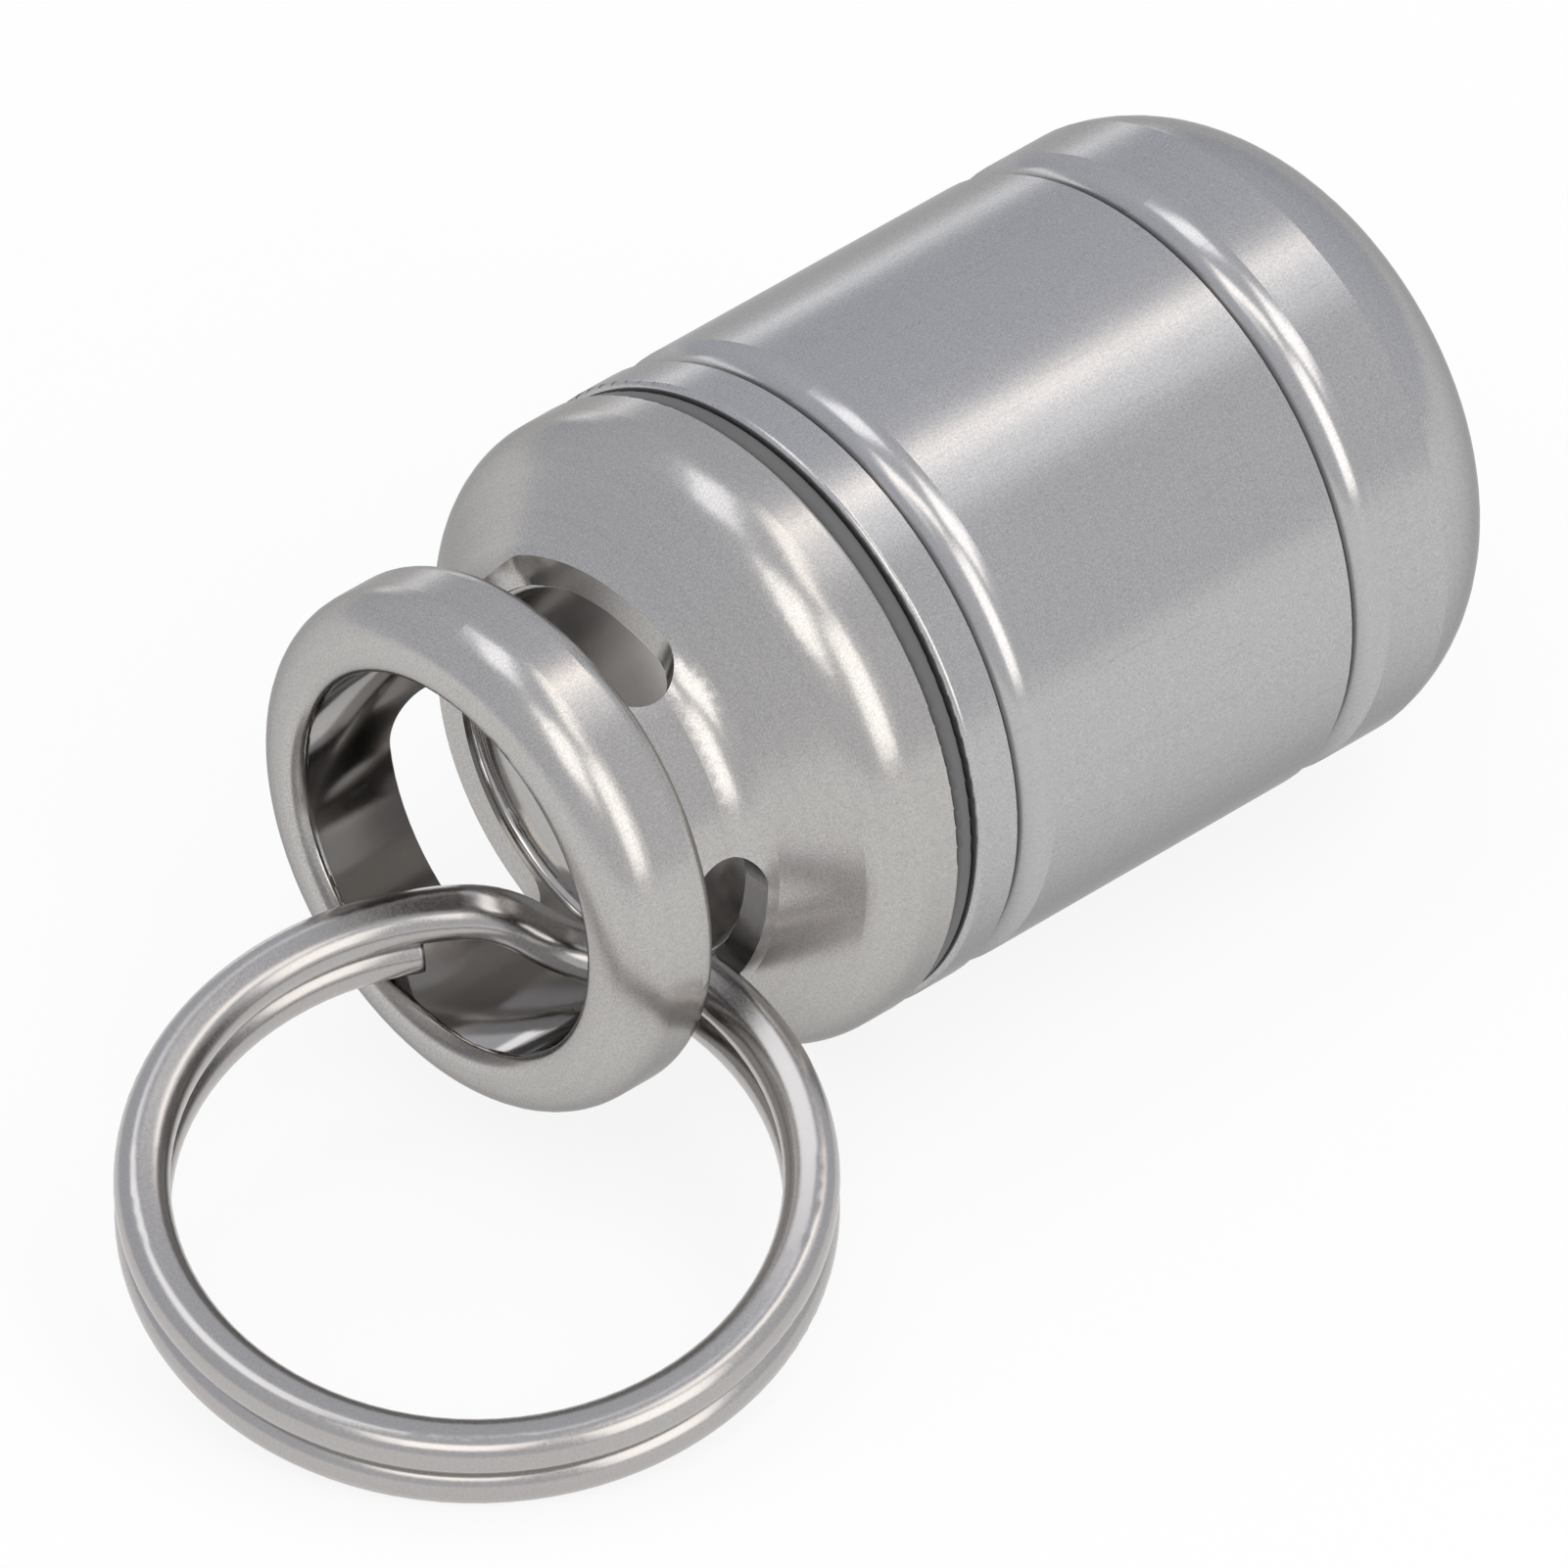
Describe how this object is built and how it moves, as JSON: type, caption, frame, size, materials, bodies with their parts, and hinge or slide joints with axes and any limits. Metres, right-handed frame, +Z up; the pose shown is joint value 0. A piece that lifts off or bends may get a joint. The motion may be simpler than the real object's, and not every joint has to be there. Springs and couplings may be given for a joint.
{
  "type": "pill fob keychain",
  "caption": "Screw-top steel pill capsule with a slotted loop cap, a rubber seal at the seam and a two-coil split ring, for carrying pills on a bunch of keys.",
  "frame": {"origin": "Middle of the whole object's box, on the floor it lies on", "axes": "+X along the capsule from the loop cap to the closed end, +Z up, the capsule lying on its side"},
  "size_m": [0.0444, 0.0238, 0.018],
  "materials": {
    "satin_steel": "satin",
    "polished_steel": "polished",
    "seal_rubber": "matte"
  },
  "bodies": {
    "canister": {"canister": "satin_steel"},
    "o_ring": {"o_ring": "seal_rubber"},
    "screw_cap": {"screw_cap": "satin_steel"},
    "split_ring": {"split_ring": "polished_steel"}
  },
  "joints": [
    {"name": "cap_lift", "type": "slide", "parent": "canister", "child": "o_ring", "axis": [-1, 0, 0], "range_m": [0, 0.004]},
    {"name": "cap_turn", "type": "hinge", "parent": "o_ring", "child": "screw_cap", "pos_m": [0.00166, 0.00292, 0.009], "axis": [-1, 0, 0], "range_deg": [0, 1440]},
    {"name": "ring_swing", "type": "hinge", "parent": "screw_cap", "child": "split_ring", "pos_m": [-0.00716, 0.00353, 0.00571], "axis": [-0.5721, 0.8202, 0], "range_deg": [0, 36]}
  ],
  "couplings": [
    {"joint": "cap_lift", "follows": "cap_turn", "m_per_rad": 0.00015915}
  ]
}
